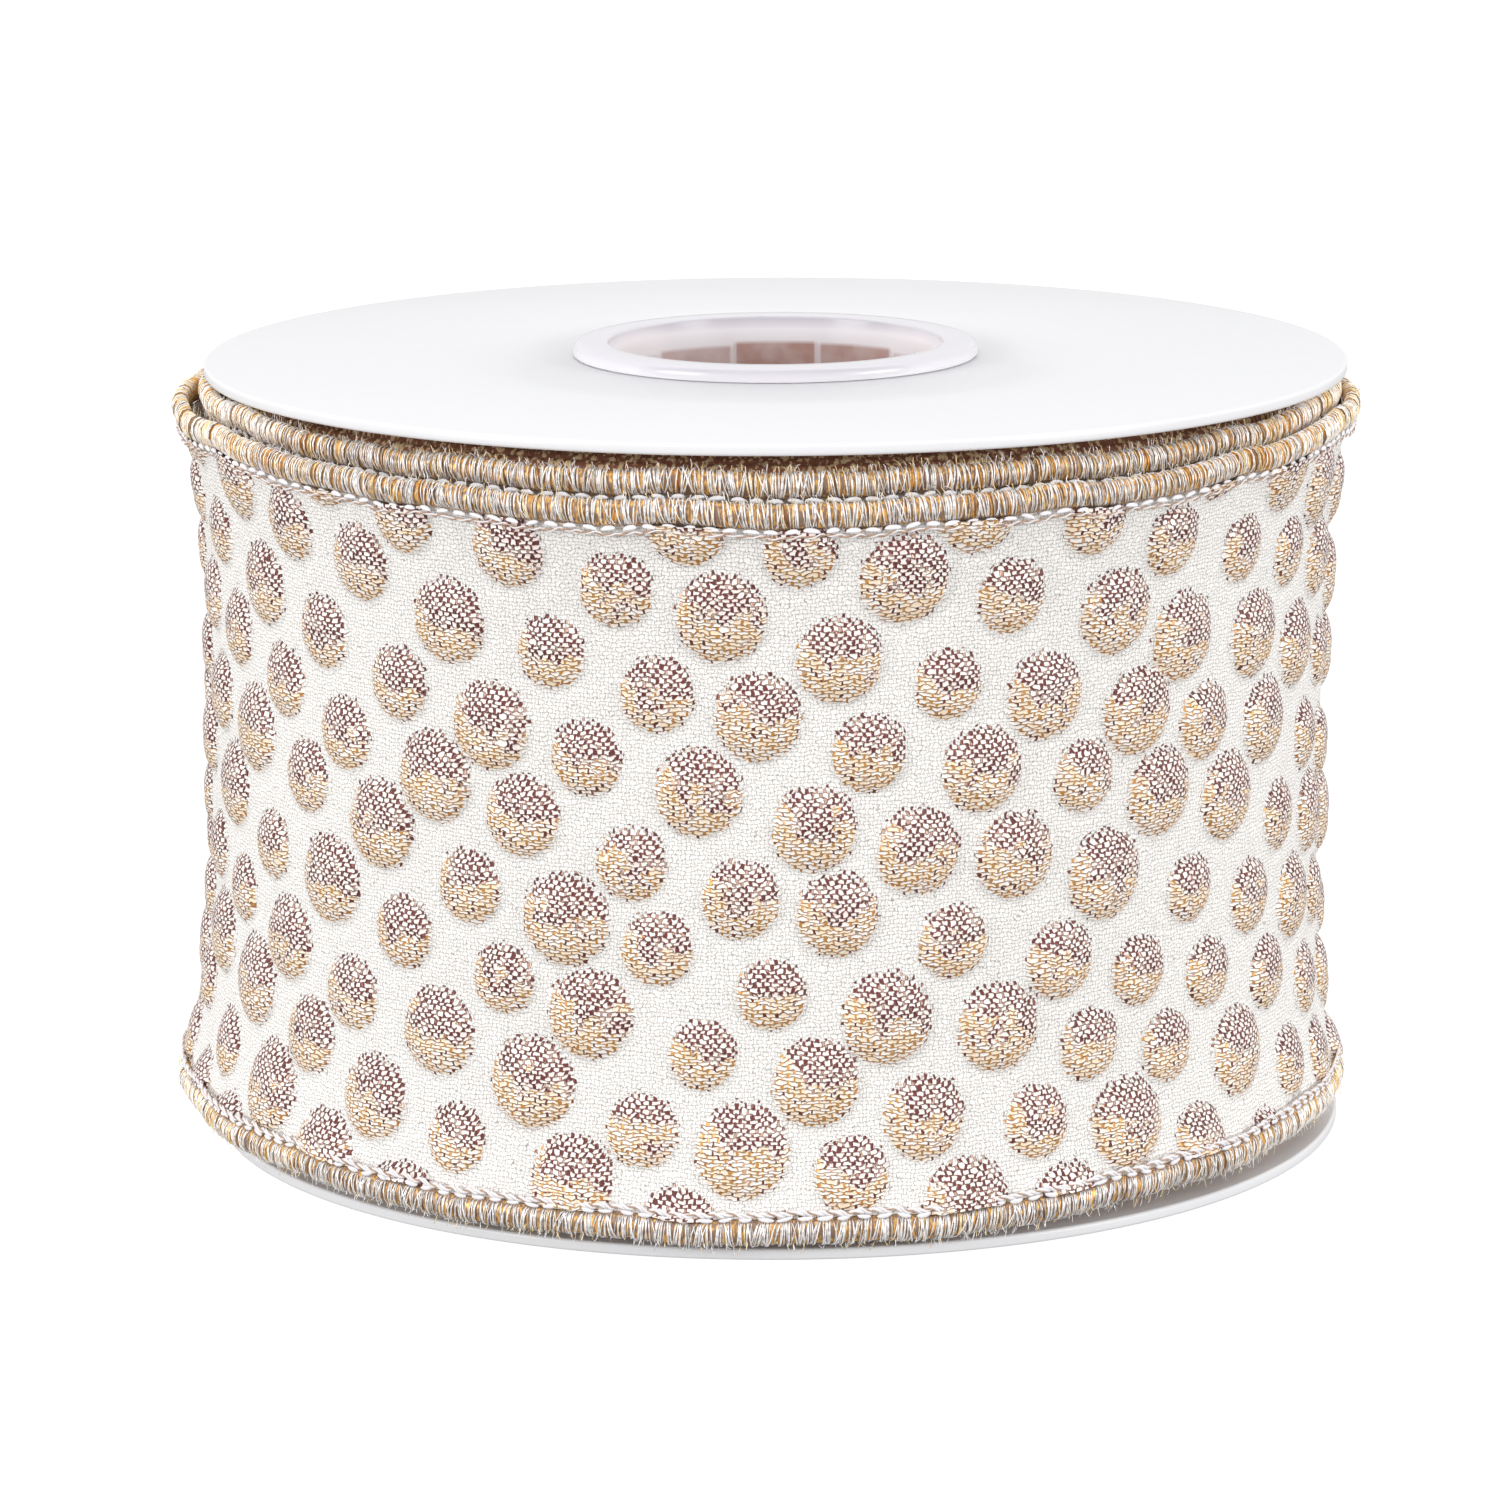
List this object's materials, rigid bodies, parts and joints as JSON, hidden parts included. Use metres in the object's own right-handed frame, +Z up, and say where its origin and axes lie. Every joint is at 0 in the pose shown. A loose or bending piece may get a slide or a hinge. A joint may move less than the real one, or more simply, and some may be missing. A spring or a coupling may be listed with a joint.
{
  "type": "ribbon spool",
  "caption": "Gift-wrap ribbon spool: flat flanges on a hollow core, wound with wide wired-edge ribbon covered in puffy metallic dots.",
  "frame": {"origin": "on the spool's axis, in the plane that the lower plug's collar stands on", "axes": "+Z up along the spool's axis; +Y towards the ribbon's loose end; the picture looks along +Y"},
  "size_m": [0.1054, 0.1064, 0.0716],
  "materials": {
    "hub_plastic": "natural translucent moulding",
    "flange_plastic": "smooth white sheet with a slight sheen",
    "kraft_board": "bare kraft",
    "tape": "clear yellowish tape",
    "ribbon_cloth": "off-white plain weave with raised metallic jacquard dots",
    "hem_thread": "overlocked metallic gold, white and orange-brown thread",
    "edge_wire": "thin annealed wire"
  },
  "bodies": {
    "wound_core": {"lower_hub_plug": "hub_plastic", "upper_hub_plug": "hub_plastic", "core_tube": "kraft_board", "start_tape": "tape", "ribbon_inner_turns": "ribbon_cloth", "ribbon_second_turn": "ribbon_cloth", "second_turn_top_hem": "hem_thread", "second_turn_top_wire": "edge_wire", "second_turn_bottom_hem": "hem_thread", "second_turn_bottom_wire": "edge_wire", "ribbon_outer_turn": "ribbon_cloth", "outer_turn_top_hem": "hem_thread", "outer_turn_top_wire": "edge_wire", "outer_turn_bottom_hem": "hem_thread", "outer_turn_bottom_wire": "edge_wire"},
    "bottom_flange": {"bottom_flange": "flange_plastic"},
    "top_flange": {"top_flange": "flange_plastic"},
    "ribbon_tail": {"ribbon_tail": "ribbon_cloth", "tail_top_hem": "hem_thread", "tail_top_wire": "edge_wire", "tail_bottom_hem": "hem_thread", "tail_bottom_wire": "edge_wire"}
  },
  "joints": [
    {"name": "top_flange_spin", "type": "hinge", "parent": "wound_core", "child": "top_flange", "pos_m": [0, 0, 0.0698], "axis": [0, 0, 1], "continuous": true},
    {"name": "bottom_flange_spin", "type": "hinge", "parent": "wound_core", "child": "bottom_flange", "pos_m": [0, 0, 0.0018], "axis": [0, 0, 1], "continuous": true},
    {"name": "tail_peel", "type": "hinge", "parent": "wound_core", "child": "ribbon_tail", "pos_m": [0, 0.0534, 0.03551], "axis": [0, 0, 1], "range_deg": [0, 60]}
  ]
}
